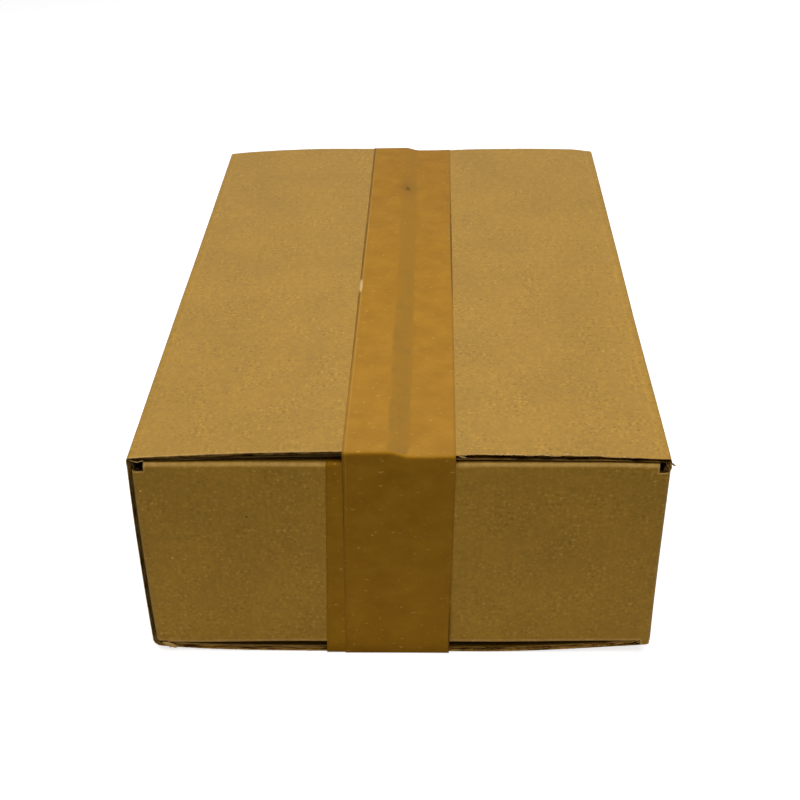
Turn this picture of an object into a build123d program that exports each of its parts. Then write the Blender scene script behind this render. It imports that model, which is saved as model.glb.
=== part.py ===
import os

from build123d import *

# A small shipping parcel: a regular slotted carton folded from one sheet of corrugated board, shut by two strips
# of packing tape. X runs across the carton, Y along it from the front end to the back end, and Z up from the
# surface it stands on. All sizes are in millimetres.

# Driving sizes of the carton
carton_width = 230.0            # over the two side walls
carton_length = 340.0           # over the two end walls
end_wall_height = 101.9         # over the outer faces of the end flaps, lower to upper
board = 3.0                     # single-wall board, over both facings
crushed_board = 1.85            # what the creasing wheel leaves of it at a side fold
liner = 0.4                     # one paper facing
flute_pitch = 6.5               # from one wave of the fluted paper to the next
flute_web = 0.6                 # width of the fluted paper, measured along the board
flute_pocket_depth = 4.0        # how far the flutes are open at a seam edge
open_edge_depth = 2.0           # how far an edge cut along the flutes stays open between its facings
top_fold_radius = 1.6           # outside of the folds between side walls and upper side flaps
bottom_fold_radius = 4.0        # the same at the lower side flaps, which carry the weight
end_fold_radius = 2.0           # outside of the folds between end walls and end flaps
corner_fold_radius = 2.5        # outside of the upright folds between the walls
crease_radius = 1.4             # bead pressed along the inside of a fold
crease_shift = 0.6              # middle of that bead, in from both inner faces
flap_clearance = 0.25           # between the end flaps and the side flaps that close over them

# The slots that part one flap from the next
side_flap_setback = 1.2         # ends of the side flaps, in from the outside of the end walls
end_flap_setback = 5.1          # edges of the end flaps, in from the outside of the side walls
joint_slot_setback = 7.2        # the same beside the glued corner
slot_depth = 4.1                # upper slots, below the outer face of the upper end flaps
corner_drop = 1.2               # walls at the lower slots, below the outer face of the lower end flaps
end_flap_length = 112.0         # out from the end wall

# How the four side flaps lie once they are shut
left_top_rise = 2.55            # upper left flap at the seam, over where its fold starts
right_top_rise = 0.8            # upper right flap
left_top_seam = 3.0             # its free edge, out from the middle of the carton
right_top_seam = 2.0
bottom_sag = 2.85               # both lower flaps, below their folds
bottom_seam = 1.0               # their free edges, out from the middle
bottom_flat = 34.0              # half the width over which the bottom lies flat

# The glued corner, at the front of the left wall
joint_show = 1.9                # width of the raw board edge left in sight beside the fold
joint_fold_radius = 2.0         # outside of that fold
tab_reach = 33.0                # glued tab, back from the outside of the front wall
tab_taper = 9.0                 # how much each end of the tab slopes in towards its free edge

# Packing tape
tape_width = 48.0
tape_film = 0.1                 # film and adhesive
top_tape_fold = 0.8             # inside bend of the upper strip over the edges of the flaps
bottom_tape_fold = 1.2          # inside bend of the lower strip round the bottom edges
bridge_landing = 3.5            # where the upper strip comes down on the lower flap, past that flap's edge
top_tape_middle = 1.0           # middle of the upper strip, right of the carton's middle
top_tape_lean = 2.7             # sideways drift of its front leg, top to bottom
top_tape_end = 0.4              # its cut ends, above the ground
bottom_tape_front_top = -6.0    # middle of the lower strip where it leaves the front wall at the top
bottom_tape_front = -10.4       # and at the foot of the front wall
bottom_tape_back = -4.0         # and all the way up the back wall
bottom_tape_tuck = 12.0         # how far its ends lie in over the end flaps
tooth_pitch = 2.4               # saw teeth that the cutter leaves across a strip's ends
tooth_depth = 0.9

overrun = 5.0                   # extra length of everything that only cuts or bounds

# Levels and half sizes worked out from those
half_width = carton_width / 2
half_length = carton_length / 2
ground_flap_face = tape_film                                         # lower flaps, where they lie on the tape
end_base = ground_flap_face + board + bottom_sag + flap_clearance    # outer face of the lower end flaps
end_top = end_base + end_wall_height                                 # outer face of the upper end flaps
middle_level = (end_base + end_top) / 2
ring_foot = end_base + end_fold_radius
slot_head = end_top - slot_depth
inside_half_width = half_width - board
inside_half_length = half_length - board


def patch(low_u, high_u, low_v, high_v):
    # An upright rectangle between two places along each axis of the drawing
    middle = Pos((low_u + high_u) / 2, (low_v + high_v) / 2)
    return middle * Rectangle(high_u - low_u, high_v - low_v)


def arc_radius(run, drop):
    # Radius of the arc that starts level and has fallen by drop after run
    return (run * run + drop * drop) / (2 * drop)


def upper_flap_height(rise):
    # Outer face of an upper side flap at the seam
    return end_top + flap_clearance + rise + board


def upper_flap_radius(seam, rise):
    return arc_radius(half_width - seam, rise + board - crushed_board)


def upper_flap_disc(seam, rise, inset):
    # The disc whose rim is the crown of an upper side flap, or of the same flap's inner face
    radius = upper_flap_radius(seam, rise)
    return Pos(seam, upper_flap_height(rise) - radius) * Circle(radius - inset)


def lower_flap_disc(inset):
    radius = arc_radius(half_width - bottom_flat, bottom_sag + board - crushed_board)
    return Pos(bottom_flat, ground_flap_face + radius) * Circle(radius - inset)


def side_profile(seam, rise):
    # Cross-section of the right wall with its upper and lower flap, drawn across and up
    crown = upper_flap_height(rise)
    outside_top = patch(seam, half_width, middle_level, crown) & upper_flap_disc(seam, rise, 0)
    outside_flat = patch(bottom_seam, bottom_flat, ground_flap_face, middle_level)
    outside_curve = patch(bottom_flat, half_width, ground_flap_face, middle_level) & lower_flap_disc(0)
    outside = outside_top + outside_flat + outside_curve

    hollow = patch(0, inside_half_width, end_base - flap_clearance, end_top + flap_clearance)
    under_crown = patch(0, inside_half_width, middle_level, crown) & upper_flap_disc(seam, rise, board)
    over_flat = patch(0, bottom_flat, ground_flap_face + board, middle_level)
    over_curve = patch(bottom_flat, inside_half_width, ground_flap_face, middle_level) & lower_flap_disc(board)
    profile = outside - (hollow + under_crown + over_flat + over_curve)

    lower_fold, upper_fold = [v for v in profile.vertices().sort_by(Axis.Y) if v.X > half_width - liner]
    profile = fillet(upper_fold, top_fold_radius)
    return fillet(profile.vertices().sort_by_distance(lower_fold)[0], bottom_fold_radius)


def end_profile():
    # Cross-section of the back wall with its upper and lower flap, drawn along and up
    flap_edge = half_length - end_flap_length
    outside = patch(flap_edge, half_length, end_base, end_top)
    hollow = patch(flap_edge, inside_half_length, end_base + board, end_top - board)
    profile = outside - hollow
    fold_corners = [v for v in profile.vertices() if v.X > half_length - liner]
    profile = fillet(fold_corners, end_fold_radius)
    for level in (end_base + board + crease_shift, end_top - board - crease_shift):
        profile -= Pos(inside_half_length - crease_shift, level) * Circle(crease_radius)
    return profile


def flute_pockets(edge, base):
    # The open ends of the flutes in a seam edge that lies edge out from the middle: triangles by turns under the
    # outer facing and over the inner one, with the fluted paper between them
    low = base + liner
    high = base + board - liner
    half_mouth = flute_pitch / 2 - flute_web
    clear_run = carton_length - 2 * (side_flap_setback + open_edge_depth + flute_pitch)
    waves = int(clear_run / flute_pitch)
    mouths = []
    for wave in range(waves):
        along = (wave - waves / 2) * flute_pitch
        beside = along + flute_pitch / 2
        mouths.append(Polygon((along - half_mouth, high), (along, low), (along + half_mouth, high), align=None))
        mouths.append(Polygon((beside - half_mouth, low), (beside + half_mouth, low), (beside, high), align=None))
    return extrude(Plane.YZ.offset(edge) * Sketch(mouths), flute_pocket_depth)


def panel(profile, start, run):
    # A wall with its flaps: the profile drawn out along the fold, with both cut edges open between the facings
    channel = offset(profile, -liner)
    near_edge = extrude(start * channel, open_edge_depth)
    far_edge = extrude(start.offset(run) * channel, -open_edge_depth)
    return extrude(start * profile, run) - near_edge - far_edge


def side_panels():
    # Both side walls with their flaps
    flap_half = half_length - side_flap_setback
    start = Plane.XZ.offset(-flap_half)
    sides = []
    for seam, rise in ((right_top_seam, right_top_rise), (left_top_seam, left_top_rise)):
        side = panel(side_profile(seam, rise), start, 2 * flap_half)
        side -= flute_pockets(seam, upper_flap_height(rise) - board)
        sides.append(side - flute_pockets(bottom_seam, ground_flap_face))
    right, left = sides
    return right, left.mirror(Plane.YZ)


def end_panels():
    # Both end walls with their flaps
    back_run = carton_width - 2 * end_flap_setback
    back = panel(end_profile(), Plane.YZ.offset(end_flap_setback - half_width), back_run)
    front_run = carton_width - end_flap_setback - joint_slot_setback
    front = panel(end_profile(), Plane.YZ.offset(joint_slot_setback - half_width), front_run)
    return back, front.mirror(Plane.XZ)


def wall_ring():
    # The walls up to the slots' depth, where one folds into the next round three corners. The left wall ends in a
    # raw edge at the front, and the front wall turns in behind it. At the foot the walls' corners reach below the
    # end flaps, because the slots there stop short of the folds.
    fold_line = joint_show - half_width
    left_start = side_flap_setback + open_edge_depth - half_length
    left_wall = patch(-half_width, -inside_half_width, left_start, half_length)
    right_wall = patch(inside_half_width, half_width, -half_length, half_length)
    back_wall = patch(-half_width, half_width, inside_half_length, half_length)
    front_wall = patch(fold_line, half_width, -half_length, -inside_half_length)
    joint_corner = front_wall.vertices().sort_by(Axis.X)[:2].sort_by(Axis.Y)[0]
    front_wall = fillet(joint_corner, joint_fold_radius)
    ring = left_wall + right_wall + back_wall + front_wall
    bead_x = inside_half_width - crease_shift
    bead_y = inside_half_length - crease_shift
    for x, y in ((bead_x, -bead_y), (bead_x, bead_y), (-bead_x, bead_y)):
        ring -= Pos(x, y) * Circle(crease_radius)
    walls = extrude(Plane.XY.offset(ring_foot) * ring, slot_head - ring_foot)

    over = half_length + overrun
    right_slots = patch(half_width - end_flap_setback, half_width, -over, over)
    back_left_slot = patch(-half_width, end_flap_setback - half_width, 0, over)
    joint_slot = patch(-half_width, joint_slot_setback - half_width, -over, 0)
    end_walls = Rectangle(carton_width, carton_length) - Rectangle(carton_width, 2 * inside_half_length)
    corners = ring & (right_slots + back_left_slot + joint_slot) & end_walls
    foot = end_base - corner_drop
    return walls + extrude(Plane.XY.offset(foot) * corners, ring_foot - foot)


def glued_tab():
    # The flap of the front wall that is glued inside the left wall, pressed a little into it
    fold_line = joint_show - half_width
    front = joint_fold_radius - half_length
    free_edge = tab_reach - half_length
    outline = Polyline((front, ring_foot), (free_edge, ring_foot + tab_taper),
                       (free_edge, slot_head - tab_taper), (front, slot_head), close=True)
    return extrude(Plane.YZ.offset(fold_line) * make_face(outline), board)


def corner_roundings():
    # What the three upright folds take off the square corners of the walls
    square = patch(half_width - corner_fold_radius, half_width + overrun,
                   half_length - corner_fold_radius, half_length + overrun)
    waste = square - Pos(half_width - corner_fold_radius, half_length - corner_fold_radius) * Circle(corner_fold_radius)
    back_right = extrude(Plane.XY.offset(-overrun) * waste, end_top + board + 2 * overrun)
    return back_right + back_right.mirror(Plane.YZ) + back_right.mirror(Plane.XZ)


def make_carton():
    right, left = side_panels()
    back, front = end_panels()
    return wall_ring() + glued_tab() + right + left + back + front - corner_roundings()


def flap_point(seam, rise, x, lift):
    # A point over the outer face of an upper side flap, x out from the middle of the carton
    radius = upper_flap_radius(seam, rise)
    centre = upper_flap_height(rise) - radius
    out = x - seam
    return x, centre + ((radius + lift) ** 2 - out * out) ** 0.5


def step_bridge(start, end):
    # The film between the two flaps: one bend down off the higher one and an equal bend out onto the lower
    middle = ((start.X + end.X) / 2, (start.Y + end.Y) / 2)
    return TangentArc(start, middle, tangent=(1, 0)), TangentArc(end, middle, tangent=(-1, 0))


def under_top_tape(lift):
    # Everything inside the upper strip, drawn across and up: the tape lies on the left flap, bridges the step at
    # the seam and comes down on the right flap
    reach = tape_width / 2 + overrun
    left_points = [flap_point(left_top_seam, left_top_rise, x, lift) for x in
                   (reach, (reach + left_top_seam) / 2, left_top_seam)]
    left_arc = ThreePointArc(*[(-x, z) for x, z in left_points])
    landing = right_top_seam + bridge_landing
    right_points = [flap_point(right_top_seam, right_top_rise, x, lift) for x in
                    (landing, (landing + reach) / 2, reach)]
    right_arc = ThreePointArc(*right_points)
    off_left, onto_right = step_bridge(left_arc @ 1, right_arc @ 0)
    sides = Polyline(right_arc @ 1, (reach, -overrun), (-reach, -overrun), left_arc @ 0)
    return make_face([left_arc, off_left, onto_right, right_arc, sides])


def wrapped_block(lift):
    # The block that the upper strip goes round, or with lift the same block with the strip's own film added. Its
    # ends stand one film out from the carton, over the lower strip.
    far = half_length + tape_film + lift
    block = extrude(Plane.XZ * under_top_tape(lift), far, both=True)
    rims = block.edges().filter_by(lambda e: abs(abs(e.center().Y) - far) < liner)
    rims = rims.filter_by(lambda e: abs((e % 0.5).Z) < abs((e % 0.5).X))
    return fillet(rims.filter_by(lambda e: e.center().Z > middle_level), top_tape_fold + lift)


def saw_teeth(y, beyond, low, high):
    # What a cutter takes off the end of a strip that ends at y. Beyond is 1 or -1, the way along Y that leads off
    # the strip.
    count = int(carton_width / tooth_pitch)
    notches = []
    for tooth in range(count):
        x = (tooth - count / 2) * tooth_pitch
        notches.append(Polygon((x - tooth_pitch / 2, y + beyond * overrun), (x - tooth_pitch / 2, y),
                               (x, y - beyond * tooth_depth), (x + tooth_pitch / 2, y),
                               (x + tooth_pitch / 2, y + beyond * overrun), align=None))
    return extrude(Plane.XY.offset(low) * Sketch(notches), high - low)


def make_top_tape():
    # The strip over the top seam. Its legs lie over the ends of the lower strip, down to the bottom edges.
    left_edge = top_tape_middle - tape_width / 2
    right_edge = top_tape_middle + tape_width / 2
    crown = upper_flap_height(left_top_rise) + overrun
    lean = top_tape_lean
    front = Plane.XZ * make_face(Polyline(
        (left_edge, crown), (left_edge, end_top), (left_edge - lean, top_tape_end),
        (right_edge - lean, top_tape_end), (right_edge, end_top), (right_edge, crown), close=True))
    back = Plane.XZ * patch(left_edge, right_edge, top_tape_end, crown)
    over = half_length + overrun
    return (wrapped_block(tape_film) - wrapped_block(0)) & (extrude(front, over) + extrude(back, -over))


def tape_window(front_top, front_foot, back):
    # The straight strip that the lower tape is cut to, leg by leg
    half_tape = tape_width / 2
    bend = ground_flap_face + bottom_tape_fold
    crown = end_top + overrun
    front = Polyline((front_top - half_tape, crown), (front_top - half_tape, end_top), (front_foot - half_tape, bend),
                     (front_foot + half_tape, bend), (front_top + half_tape, end_top), (front_top + half_tape, crown),
                     close=True)
    front_leg = extrude(Plane.XZ * make_face(front), half_length + overrun)
    back_leg = extrude(Plane.XZ * patch(back - half_tape, back + half_tape, bend, crown), -half_length - overrun)
    outer_end = half_length + tape_film
    floor = Polyline((front_foot - half_tape, -outer_end), (front_foot + half_tape, -outer_end),
                     (back + half_tape, outer_end), (back - half_tape, outer_end), close=True)
    bottom = extrude(Plane.XY.offset(-overrun) * make_face(floor), bend + overrun)
    return front_leg + back_leg + bottom


def make_bottom_tape():
    # The strip under the bottom seam. It goes up both end walls and in over the end flaps, where the upper side
    # flaps shut on it.
    tuck = half_length - bottom_tape_tuck
    path = FilletPolyline((-tuck, end_top), (-half_length, end_top), (-half_length, ground_flap_face),
                          (half_length, ground_flap_face), (half_length, end_top), (tuck, end_top),
                          radius=[end_fold_radius, bottom_tape_fold, bottom_tape_fold, end_fold_radius])
    film = make_face(offset(path, tape_film, side=Side.RIGHT))
    wide = extrude(Plane.YZ * film, half_width, both=True)
    strip = wide & tape_window(bottom_tape_front_top, bottom_tape_front, bottom_tape_back)
    low = end_top - overrun
    high = end_top + overrun
    return strip - saw_teeth(-tuck, 1, low, high) - saw_teeth(tuck, -1, low, high)


os.makedirs("parts", exist_ok=True)
for name, solid in (("carton", make_carton()), ("top_tape", make_top_tape()), ("bottom_tape", make_bottom_tape())):
    export_step(solid, f"parts/{name}.step")
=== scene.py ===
import math

import bmesh
import bpy
from mathutils import Matrix, Vector, noise


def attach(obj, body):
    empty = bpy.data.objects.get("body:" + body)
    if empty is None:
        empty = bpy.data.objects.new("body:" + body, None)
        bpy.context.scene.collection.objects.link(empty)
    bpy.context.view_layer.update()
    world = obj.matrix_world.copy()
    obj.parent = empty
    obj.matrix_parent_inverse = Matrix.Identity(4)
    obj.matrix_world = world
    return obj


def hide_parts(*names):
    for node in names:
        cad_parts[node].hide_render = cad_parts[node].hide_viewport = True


mm = 0.001

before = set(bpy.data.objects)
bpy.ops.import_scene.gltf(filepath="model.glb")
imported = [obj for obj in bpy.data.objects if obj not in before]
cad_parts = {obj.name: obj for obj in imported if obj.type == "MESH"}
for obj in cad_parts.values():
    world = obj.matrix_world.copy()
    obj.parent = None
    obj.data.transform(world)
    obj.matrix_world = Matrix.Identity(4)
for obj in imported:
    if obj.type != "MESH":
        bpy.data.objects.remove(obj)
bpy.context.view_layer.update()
print("frame loaded:", sorted(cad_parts))

# The camera, the floor and the light come first.

cameraSetup = {
    "place": (0.018, -0.619, 0.4286),
    "yaw": 2.04,            # degrees, to the left
    "pitch": 32.70,         # down
    "roll": -1.17,
    "focalLength": 58.9,
    "sensor": 36.0,
}


def makeCamera():
    yaw, pitch, roll = (math.radians(cameraSetup[name]) for name in ("yaw", "pitch", "roll"))
    turn = Matrix.Rotation(yaw, 3, "Z")
    side = turn @ Vector((1, 0, 0))
    ahead = turn @ Vector((0, math.cos(pitch), -math.sin(pitch)))
    up = turn @ Vector((0, math.sin(pitch), math.cos(pitch)))
    rolledSide = math.cos(roll) * side + math.sin(roll) * up
    rolledUp = math.cos(roll) * up - math.sin(roll) * side
    data = bpy.data.cameras.new("camera")
    data.lens = cameraSetup["focalLength"]
    data.sensor_width = cameraSetup["sensor"]
    camera = bpy.data.objects.new("camera", data)
    bpy.context.scene.collection.objects.link(camera)
    axes = Matrix((rolledSide, rolledUp, -ahead)).transposed()
    camera.matrix_world = Matrix.Translation(cameraSetup["place"]) @ axes.to_4x4()
    bpy.context.scene.camera = camera


def linear(hexColour):
    channels = [int(hexColour[i:i + 2], 16) / 255 for i in (1, 3, 5)]
    return tuple(c / 12.92 if c <= 0.04045 else ((c + 0.055) / 1.055) ** 2.4 for c in channels) + (1.0,)


def addNode(tree, kind, settings=None, links=None):
    node = tree.nodes.new("ShaderNode" + kind)
    for name, value in (settings or {}).items():
        if name == "tones":             # where a colour ramp has its two colours
            for stop, (place, colour) in zip(node.color_ramp.elements, value):
                stop.position, stop.color = place, linear(colour)
        elif isinstance(name, str) and name in node.bl_rna.properties:
            setattr(node, name, value)
        else:
            node.inputs[name].default_value = value
    for name, source in (links or {}).items():
        tree.links.new(source, node.inputs[name])
    return node


def newMaterial(name):
    material = bpy.data.materials.new(name)
    material.use_nodes = True
    tree = material.node_tree
    tree.nodes.clear()
    return material, tree


def meshObject(name, bm):
    mesh = bpy.data.meshes.new(name)
    bm.to_mesh(mesh)
    bm.free()
    made = bpy.data.objects.new(name, mesh)
    bpy.context.scene.collection.objects.link(made)
    return made


stage = {                   # metres and watts
    "floorSize": 6.0,
    "floorLevel": -0.0002,
    "floorPaper": "#DDDDDD",
    "seenGlow": 0.78,       # lifts the floor to white for the camera, short of its shadow
    "glossGlow": 0.1,       # and to a pale grey in gloss
    "world": 0.06,
    "lamps": {
        "softLamp": {"place": (0.03, -0.088, 0.9), "aim": (0, 0, 0.05), "size": (1.1, 1.1), "power": 9.2,
                     "seen": True},
        "bounceCard": {"place": (0, -0.21, 0.001), "aim": (0, -0.21, 1), "size": (0.34, 0.07), "power": 0.02,
                       "seen": False},
    },
}


def makeFloor():
    bm = bmesh.new()
    bmesh.ops.create_grid(bm, x_segments=2, y_segments=2, size=stage["floorSize"] / 2)
    floor = meshObject("floor", bm)
    floor.location.z = stage["floorLevel"]
    material, tree = newMaterial("white studio floor")  # matt paper that also glows for the camera and in gloss
    rays = addNode(tree, "LightPath")
    inGloss = addNode(tree, "Math", {"operation": "MAXIMUM"},
                      {0: rays.outputs["Is Glossy Ray"], 1: rays.outputs["Is Transmission Ray"]})
    lift = addNode(tree, "Math", {"operation": "MULTIPLY", 1: stage["glossGlow"]}, {0: inGloss.outputs[0]})
    strength = addNode(tree, "Math", {"operation": "MULTIPLY_ADD", 1: stage["seenGlow"]},
                       {0: rays.outputs["Is Camera Ray"], 2: lift.outputs[0]})
    paper = addNode(tree, "BsdfDiffuse", {"Color": linear(stage["floorPaper"])})
    glow = addNode(tree, "Emission", {"Color": (1, 1, 1, 1)}, {"Strength": strength.outputs[0]})
    both = addNode(tree, "AddShader", {}, {0: paper.outputs[0], 1: glow.outputs[0]})
    addNode(tree, "OutputMaterial", {}, {"Surface": both.outputs[0]})
    floor.data.materials.append(material)


def makeLamps():
    for name, setup in stage["lamps"].items():
        data = bpy.data.lights.new(name, "AREA")
        data.shape = "RECTANGLE"
        data.size, data.size_y = setup["size"]
        data.energy = setup["power"]
        lamp = bpy.data.objects.new(name, data)
        bpy.context.scene.collection.objects.link(lamp)
        lamp.location = setup["place"]
        lamp.rotation_mode = "QUATERNION"
        lamp.rotation_quaternion = (Vector(setup["aim"]) - lamp.location).to_track_quat("-Z", "Y")
        lamp.visible_camera = setup["seen"]
        lamp.visible_glossy = setup["seen"]


def makeWorld():
    world = bpy.data.worlds.new("white surroundings")
    bpy.context.scene.world = world
    world.use_nodes = True
    tree = world.node_tree
    tree.nodes.clear()
    rays = addNode(tree, "LightPath")
    seen = rays.outputs["Is Camera Ray"]
    for kind in ("Is Glossy Ray", "Is Transmission Ray"):
        seen = addNode(tree, "Math", {"operation": "MAXIMUM"}, {0: seen, 1: rays.outputs[kind]}).outputs[0]
    strength = addNode(tree, "MapRange", {"To Min": stage["world"], "To Max": 1.0}, {"Value": seen})
    glow = addNode(tree, "Background", {"Color": (1, 1, 1, 1)}, {"Strength": strength.outputs["Result"]})
    addNode(tree, "OutputWorld", {}, {"Surface": glow.outputs[0]})


makeCamera()
makeFloor()
makeLamps()
makeWorld()
bpy.context.scene.view_settings.view_transform = "Standard"
print("camera, floor and light made")

# The carton is one flat blank. It is cut, given its thickness, worn and folded.

blank = {                   # millimetres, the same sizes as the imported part
    "width": 230.0, "length": 340.0,
    "board": 3.0, "crushed": 1.85, "liner": 0.4,
    "groundFace": 0.1, "endBase": 6.2, "endTop": 108.1, "clearance": 0.25,
    "topFold": 1.6, "bottomFold": 4.0, "endFold": 2.0, "cornerFold": 2.5, "jointFold": 2.0,
    "sideSetback": 1.2, "endSetback": 5.1, "jointSetback": 7.2,
    "slotHead": 104.0, "ringFoot": 8.2, "cornerFoot": 5.0,
    "endFlap": 112.0,
    "leftRise": 2.55, "rightRise": 0.8, "leftSeam": 3.0, "rightSeam": 2.0,
    "bottomSag": 2.85, "bottomSeam": 1.0, "bottomFlat": 34.0,
    "jointShow": 1.9, "tabReach": 33.0, "tabTaper": 9.0,
    "crushFade": 3.0,       # the board has its full thickness again this far from a fold
    "flapCrushFade": 5.0,   # the same on an end flap
    "glueFade": 6.0,        # and this far from the glued tab
    "cornerEase": 4.0,      # a flap leaves the rounding of its wall's corner over this
    "sheet": 170.0,         # half the depth of the sheet that the blank is cut from
    "cell": 4.0,            # its grid
    "cornerSteps": 5,       # facets round an upright fold
    "foldSteps": 6,         # and round a flap's
    "edgeCuts": 6,          # points put into a cell's side where it is a cut edge that shows
    "slit": 0.3,            # between a lower flap and the corner beside it
    # Its wear, its painted highlights and its painted shade are in millimetres too, or in shares from 0 to 1.
    "channel": 0.7,         # how deep a cut edge is open between its facings
    "tornChannel": 1.4,     # and how much deeper where it is torn
    "ragged": 0.12,         # wander of the cut edges
    "raggedBack": 0.3,      # of those at the back
    "torn": 2.0,            # and of the one at the front right, which a blunt knife tore
    "wanderLengths": (1.2, 4.0, 6.5),   # the wander's fine, coarse and torn waves
    "setBack": 0.2,         # how far the upper left flap's front end lies behind its place
    "pinched": 0.25,        # share of the board's thickness that the knife pressed out of the upper flaps' ends
    "scuffAndHighlight": 0.9,           # width of the pale scuffed line along the cut edges
    "wallScuff": 0.75,      # how pale it is on the walls, against 1 on the flaps
    "foldHighlight": 0.6,          # painted highlight: how pale the end flaps' folds are beside it
    "foot": 0.8,            # the same painted highlight at the foot of the end walls, against those folds
    "inside": 0.85,         # painted shade: how dark the board is inside the carton
    "insideFoot": 0.4,      # between the lower flaps, where light comes up from the floor
    "insideTear": 0.55,     # and under the torn edge
    "tornPocket": 0.6,      # painted shade: how dark the depth of the torn edge is
    "rawEdge": 0.82,        # painted shade of the raw edge beside the glued corner
    "flapEdge": 0.1,        # and of the other upper edges
}
# Levels over the middle of the walls: the flaps' edges begin above the slots and below the corners' feet, the flaps
# lie shut past their folds, and nothing shows of the end flaps further in.
upperEdges, cornerFeet, lowerEdges, pastFolds, hidden = 48, -48, -54, 58, 62
halfWidth = blank["width"] / 2
halfLength = blank["length"] / 2
middle = (blank["endBase"] + blank["endTop"]) / 2


def makePlan():
    # The runs that follow each other round the carton: name, length, start, direction, inward, radius of an arc
    b = blank
    corner = b["cornerFold"]
    joint = b["jointFold"]
    tabFace = -halfWidth + b["jointShow"]
    return [
        ("tab", b["tabReach"] - joint, (tabFace, b["tabReach"] - halfLength), (0, -1), (1, 0), 0),
        ("jointCorner", joint * math.pi / 2, (tabFace, joint - halfLength), (0, -1), (1, 0), joint),
        ("front", halfWidth - corner - tabFace - joint, (tabFace + joint, -halfLength), (1, 0), (0, 1), 0),
        ("corner", corner * math.pi / 2, (halfWidth - corner, -halfLength), (1, 0), (0, 1), corner),
        ("right", 2 * (halfLength - corner), (halfWidth, corner - halfLength), (0, 1), (-1, 0), 0),
        ("corner", corner * math.pi / 2, (halfWidth, halfLength - corner), (0, 1), (-1, 0), corner),
        ("back", 2 * (halfWidth - corner), (halfWidth - corner, halfLength), (-1, 0), (0, -1), 0),
        ("corner", corner * math.pi / 2, (corner - halfWidth, halfLength), (-1, 0), (0, -1), corner),
        ("left", 2 * halfLength - corner - b["sideSetback"], (-halfWidth, halfLength - corner), (0, -1), (1, 0), 0),
    ]


plan = makePlan()
planStarts = [sum(run[1] for run in plan[:i]) for i in range(len(plan) + 1)]
blankRun = planStarts[-1]
panelRuns = {name: i for i, (name, *_) in enumerate(plan) if name in ("front", "right", "back", "left")}


def planPoint(u, straightRun=None):
    # Outer face of the walls u along the blank: its place and the way in. A flap keeps its own wall's straight run.
    index = straightRun
    if index is None:
        index = max(i for i in range(len(plan)) if i == 0 or u >= planStarts[i])
    _, _, start, direction, inward, radius = plan[index]
    start, direction, inward = Vector(start), Vector(direction), Vector(inward)
    along = u - planStarts[index]
    if not radius:
        return start + direction * along, inward
    angle = along / radius
    centre = start + inward * radius
    out = direction * math.sin(angle) - inward * math.cos(angle)
    return centre + out * radius, -out


def arcRadius(run, drop):
    # Of the arc that starts level and has fallen by drop after run
    return (run * run + drop * drop) / (2 * drop)


def upperFlap(panel):
    # The seam edge of an upper side flap, out from the middle, its outer face there, and its fall to the fold
    b = blank
    rise = b["leftRise"] if panel == "left" else b["rightRise"]
    seam = b["leftSeam"] if panel == "left" else b["rightSeam"]
    return seam, b["endTop"] + b["clearance"] + rise + b["board"], rise + b["board"] - b["crushed"]


def roundFold(start, fold, sign, radius, turn):
    # Straight on from the slots' depth, and round the fold
    return [
        (abs(fold - start), lambda t: (0, start + (fold - start) * t, 0)),
        (radius * turn, lambda t: (radius - radius * math.cos(turn * t), fold + sign * radius * math.sin(turn * t),
                                   turn * t)),
    ]


def endPath(upper):
    b = blank
    radius = b["endFold"]
    run = b["endFlap"] - radius
    if upper:
        start, fold, sign = b["slotHead"], b["endTop"] - radius, 1
    else:
        start, fold, sign = b["ringFoot"], b["endBase"] + radius, -1
    inward = (run, lambda t: (radius + run * t, fold + sign * radius, math.pi / 2))
    return roundFold(start, fold, sign, radius, math.pi / 2) + [inward]


def sidePath(panel, upper):
    b = blank
    if upper:
        seam, crown, drop = upperFlap(panel)
        flat, radius, start, sign = seam, b["topFold"], b["slotHead"], 1
    else:
        seam, crown, drop = b["bottomSeam"], b["groundFace"], b["bottomSag"] + b["board"] - b["crushed"]
        flat, radius, start, sign = b["bottomFlat"], b["bottomFold"], b["ringFoot"], -1
    big = arcRadius(halfWidth - flat, drop)
    centreLevel = crown - sign * big
    foldRun = halfWidth - radius - flat
    foldLift = math.sqrt((big - radius) ** 2 - foldRun ** 2)
    fold = centreLevel + sign * foldLift
    turn = math.atan2(foldLift, foldRun)

    def crownPoint(t):
        angle = turn + (math.pi / 2 - turn) * t
        return halfWidth - flat - big * math.cos(angle), centreLevel + sign * big * math.sin(angle), angle

    return roundFold(start, fold, sign, radius, turn) + [
        (big * (math.pi / 2 - turn), crownPoint),
        (flat - seam, lambda t: (halfWidth - flat + (flat - seam) * t, crown, math.pi / 2)),
    ]


# What each wall does beyond the slots' depth: straight on, round its fold and in along its flap. Each piece is a
# length and a rule from the share of it to (inset from the wall, level, tilt of the outer face).
paths = {(panel, upper): endPath(upper) if panel in ("front", "back") else sidePath(panel, upper)
         for panel in panelRuns for upper in (True, False)}


def panelSpan(panel):
    # Where the flaps of a wall begin and end along the blank
    b = blank
    index = panelRuns[panel]
    first, last = planStarts[index], planStarts[index + 1]
    beyondCorner = b["cornerFold"] - b["sideSetback"]
    if panel == "front":
        return first + b["jointSetback"] - b["jointShow"] - b["jointFold"], last - b["endSetback"] + b["cornerFold"]
    if panel == "back":
        return first + b["endSetback"] - b["cornerFold"], last - b["endSetback"] + b["cornerFold"]
    if panel == "right":
        return first - beyondCorner, last + beyondCorner
    return first - beyondCorner, last


spans = {panel: panelSpan(panel) for panel in panelRuns}


def shareOut(value, low, high):
    t = min(1.0, max(0.0, (value - low) / (high - low)))
    return t * t * (3 - 2 * t)


def straightRise(upper):
    # How far the walls go straight up or down from their middle, to the slots' depth
    return blank["slotHead"] - middle if upper else middle - blank["ringFoot"]


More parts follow.
